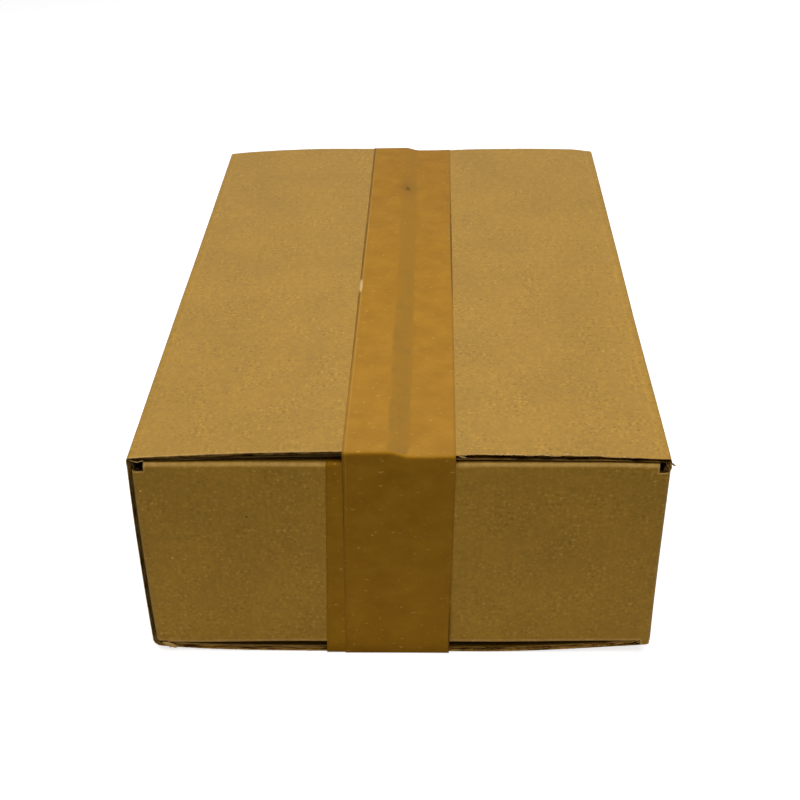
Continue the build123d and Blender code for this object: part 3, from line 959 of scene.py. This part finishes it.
def cutEdge():
    # Corrugated board cut across: crushed fluting paper, streaked along the cut, in the shade of the two facings
    f = boardFinish
    material, tree = newMaterial("cut corrugated edge")
    plane = addNode(tree, "UVMap", {"uv_map": "blankPlan"})
    depth = addNode(tree, "Attribute", {"attribute_name": "boardDepth"})
    parts = addNode(tree, "SeparateXYZ", {}, {0: plane.outputs[0]})
    place = addNode(tree, "CombineXYZ", {}, {0: parts.outputs[0], 1: parts.outputs[1], 2: depth.outputs["Fac"]})
    along = addNode(tree, "Mapping", {"Scale": f["streaks"]}, {"Vector": place.outputs[0]})
    torn = addNode(tree, "TexNoise", {"Scale": 1.0, "Detail": 4.0, "Roughness": 0.6}, {"Vector": along.outputs[0]})
    tone = addNode(tree, "ValToRGB", {"tones": ((0.38, f["cutDark"]), (0.62, f["cutPale"]))},
                   {"Fac": torn.outputs["Fac"]})
    shader = addNode(tree, "BsdfPrincipled", {"Roughness": 0.9, "Specular IOR Level": 0.0},
                     {"Base Color": applyPaintedShade(tree, tone.outputs["Color"])})
    addNode(tree, "OutputMaterial", {}, {"Surface": shader.outputs[0]})
    return material


tapeFinish = {
    # The dark edge lines are painted shadow of the lifted edges with adhesive grime, the pale edge lines are painted
    # highlight, the seam colour is painted shade over the step between the flaps, and the dust colour is dust with
    # painted sheen.
    "pale": "#B4801C", "deep": "#A37112", "bubble": "#C99C4C", "edgeDark": "#745000", "edgePale": "#C99A48",
    "smudge": "#6B4A14", "torn": "#DDB878", "dustAndSheen": "#DCCDB4", "seam": "#9B7019",
    "dustAndSheenShare": 0.04,          # how much of the pale colour lies on the top at the front: dust, and painted sheen
    "backShade": 0.92,      # painted shade: the film is darker towards the back
    "doubled": 0.82,        # both strips lie on each other at the two ends, so the film is deeper there
    "clouds": (70.0, 80.0),     # per metre: patches 14 mm wide and 12 mm long
    "bubbles": (330.0, 560.0),  # dashes 3 mm long and 1.8 mm wide, across the strip
    "marks": [              # centre on the strip, half size, softness, share and colour, in mm from its middle
        # edge lines: painted shadow of the lifted edges with adhesive grime, and painted highlight beside them
        ((-22.6, -20), (0.4, 225), 0.4, 0.4, "edgePale"), ((-24.0, 90), (1.4, 250), 0.45, 0.7, "edgeDark"),
        ((24.0, 33), (1.0, 76), 0.3, 0.9, "edgeDark"), ((-24.0, -195), (0.6, 26), 0.4, 0.7, "edgeDark"),
        ((24.0, -268), (0.9, 17), 0.3, 0.9, "edgeDark"), ((-1.5, 105.6), (2.3, 4.2), 0.9, 0.95, "smudge"),
        ((-1.5, 108), (9.0, 22.0), 1.0, 0.25, "smudge"), ((-23.3, -20), (1.0, 8.0), 0.3, 1.0, "torn"),
    ],
}


def tapeFilm(upper):
    # Tan polypropylene tape: smooth film over the board, half gloss, with small bubbles where it didn't take
    f = tapeFinish
    material, tree = newMaterial("tan packing tape" if upper else "tan packing tape, lower strip")
    plane = addNode(tree, "UVMap", {"uv_map": "stripPlan"}).outputs[0]
    parts = addNode(tree, "SeparateXYZ", {}, {0: plane})
    across, down = parts.outputs[0], parts.outputs[1]
    wide, dashes = (addNode(tree, "Mapping", {"Scale": (*f[name], 1.0)}, {"Vector": plane}).outputs[0]
                    for name in ("clouds", "bubbles"))
    clouds, bubbles = (
        addNode(tree, "TexNoise", {"Scale": 1.0, "Detail": detail, "Roughness": rough},
                {"Vector": source}).outputs["Fac"]
        for source, detail, rough in ((wide, 4.0, 0.6), (dashes, 1.0, 0.5)))
    wobble = addNode(tree, "Math", {"operation": "MULTIPLY_ADD", 1: 6 * mm, 2: -3 * mm}, {0: clouds})
    seamPlace = addNode(tree, "Math", {"operation": "ADD"}, {0: across, 1: wobble.outputs[0]})
    fromMiddle, fromSeam = (addNode(tree, "Math", {"operation": "ABSOLUTE"}, {0: source}).outputs[0]
                            for source in (down, seamPlace.outputs[0]))
    onEnd, onTop, backward, dustAndSheenFade, raised, broken, blotchy, seamShadeBand, front = (
        addNode(tree, "MapRange", {"interpolation_type": kind, "From Min": start, "From Max": full,
                                   "To Min": least, "To Max": most}, {"Value": source}).outputs[0]
        for source, kind, start, full, least, most in (
            (fromMiddle, "LINEAR", 168 * mm, 172 * mm, 1.0, f["doubled"]),
            (fromMiddle, "LINEAR", 170 * mm, 168 * mm, 0.0, 1.0),
            (down, "LINEAR", -60 * mm, 160 * mm, 1.0, f["backShade"]),
            (down, "LINEAR", -170 * mm, 120 * mm, f["dustAndSheenShare"], 0.0),
            (bubbles, "LINEAR", 0.67, 0.78, 0.0, 0.75),
            (clouds, "LINEAR", 0.33, 0.5, 0.2, 1.0),
            (clouds, "LINEAR", 0.38, 0.58, 0.3, 1.0),
            (fromSeam, "SMOOTHSTEP", 5.5 * mm, 3.5 * mm, 0.0, 1.0),
            (down, "SMOOTHSTEP", 150 * mm, -60 * mm, 0.4, 1.0)))

    # deeper where both strips lie on each other, and painted shade towards the back
    shade = addNode(tree, "Math", {"operation": "MULTIPLY"}, {0: onEnd, 1: backward})
    base = addNode(tree, "ValToRGB", {"tones": ((0.3, f["deep"]), (0.7, f["pale"]))}, {"Fac": clouds})
    tone = addNode(tree, "VectorMath", {"operation": "SCALE"},
                   {0: base.outputs["Color"], "Scale": shade.outputs[0]}).outputs[0]
    layers = [(raised, "bubble")]
    if upper:
        # painted shade of the band over the step between the flaps, and dust with painted sheen on the top
        masks = [("seam", seamShadeBand, (front, onTop, blotchy)), ("dustAndSheen", dustAndSheenFade, (onTop,))]
        for centre, halfSize, softness, share, colour in f["marks"]:
            mark = blob(tree, plane, centre, halfSize, softness)
            faded = addNode(tree, "Math", {"operation": "MULTIPLY", 1: share}, {0: mark})
            masks.append((colour, faded.outputs[0], (broken,) if colour == "edgeDark" else ()))
        for colour, mask, shares in masks:
            for share in shares:
                mask = addNode(tree, "Math", {"operation": "MULTIPLY"}, {0: mask, 1: share}).outputs[0]
            layers.append((mask, colour))
    tone = layOver(tree, tone, f, layers)

    height = addNode(tree, "Math", {"operation": "ADD"}, {0: clouds, 1: raised})
    bump = addNode(tree, "Bump", {"Strength": 0.35, "Distance": 0.00015}, {"Height": height.outputs[0]})
    shader = addNode(tree, "BsdfPrincipled", {"Roughness": 0.36, "IOR": 1.49, "Specular IOR Level": 0.035},
                     {"Base Color": tone, "Normal": bump.outputs[0]})
    addNode(tree, "OutputMaterial", {}, {"Surface": shader.outputs[0]})
    return material


kraft = kraftBoard()
cutBoard = cutEdge()
for piece in (carton, tornFacing):
    piece.data.materials.append(kraft)
    piece.data.materials.append(cutBoard)
topTape.data.materials.append(tapeFilm(True))
bottomTape.data.materials.append(tapeFilm(False))
print("finishes made")

for piece, node, slotName in ((carton, "carton", "kraft_board"), (topTape, "top_tape", "tape_film"),
                              (bottomTape, "bottom_tape", "tape_film")):
    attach(piece, "root")
    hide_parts(node)

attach(tornFacing, "root")
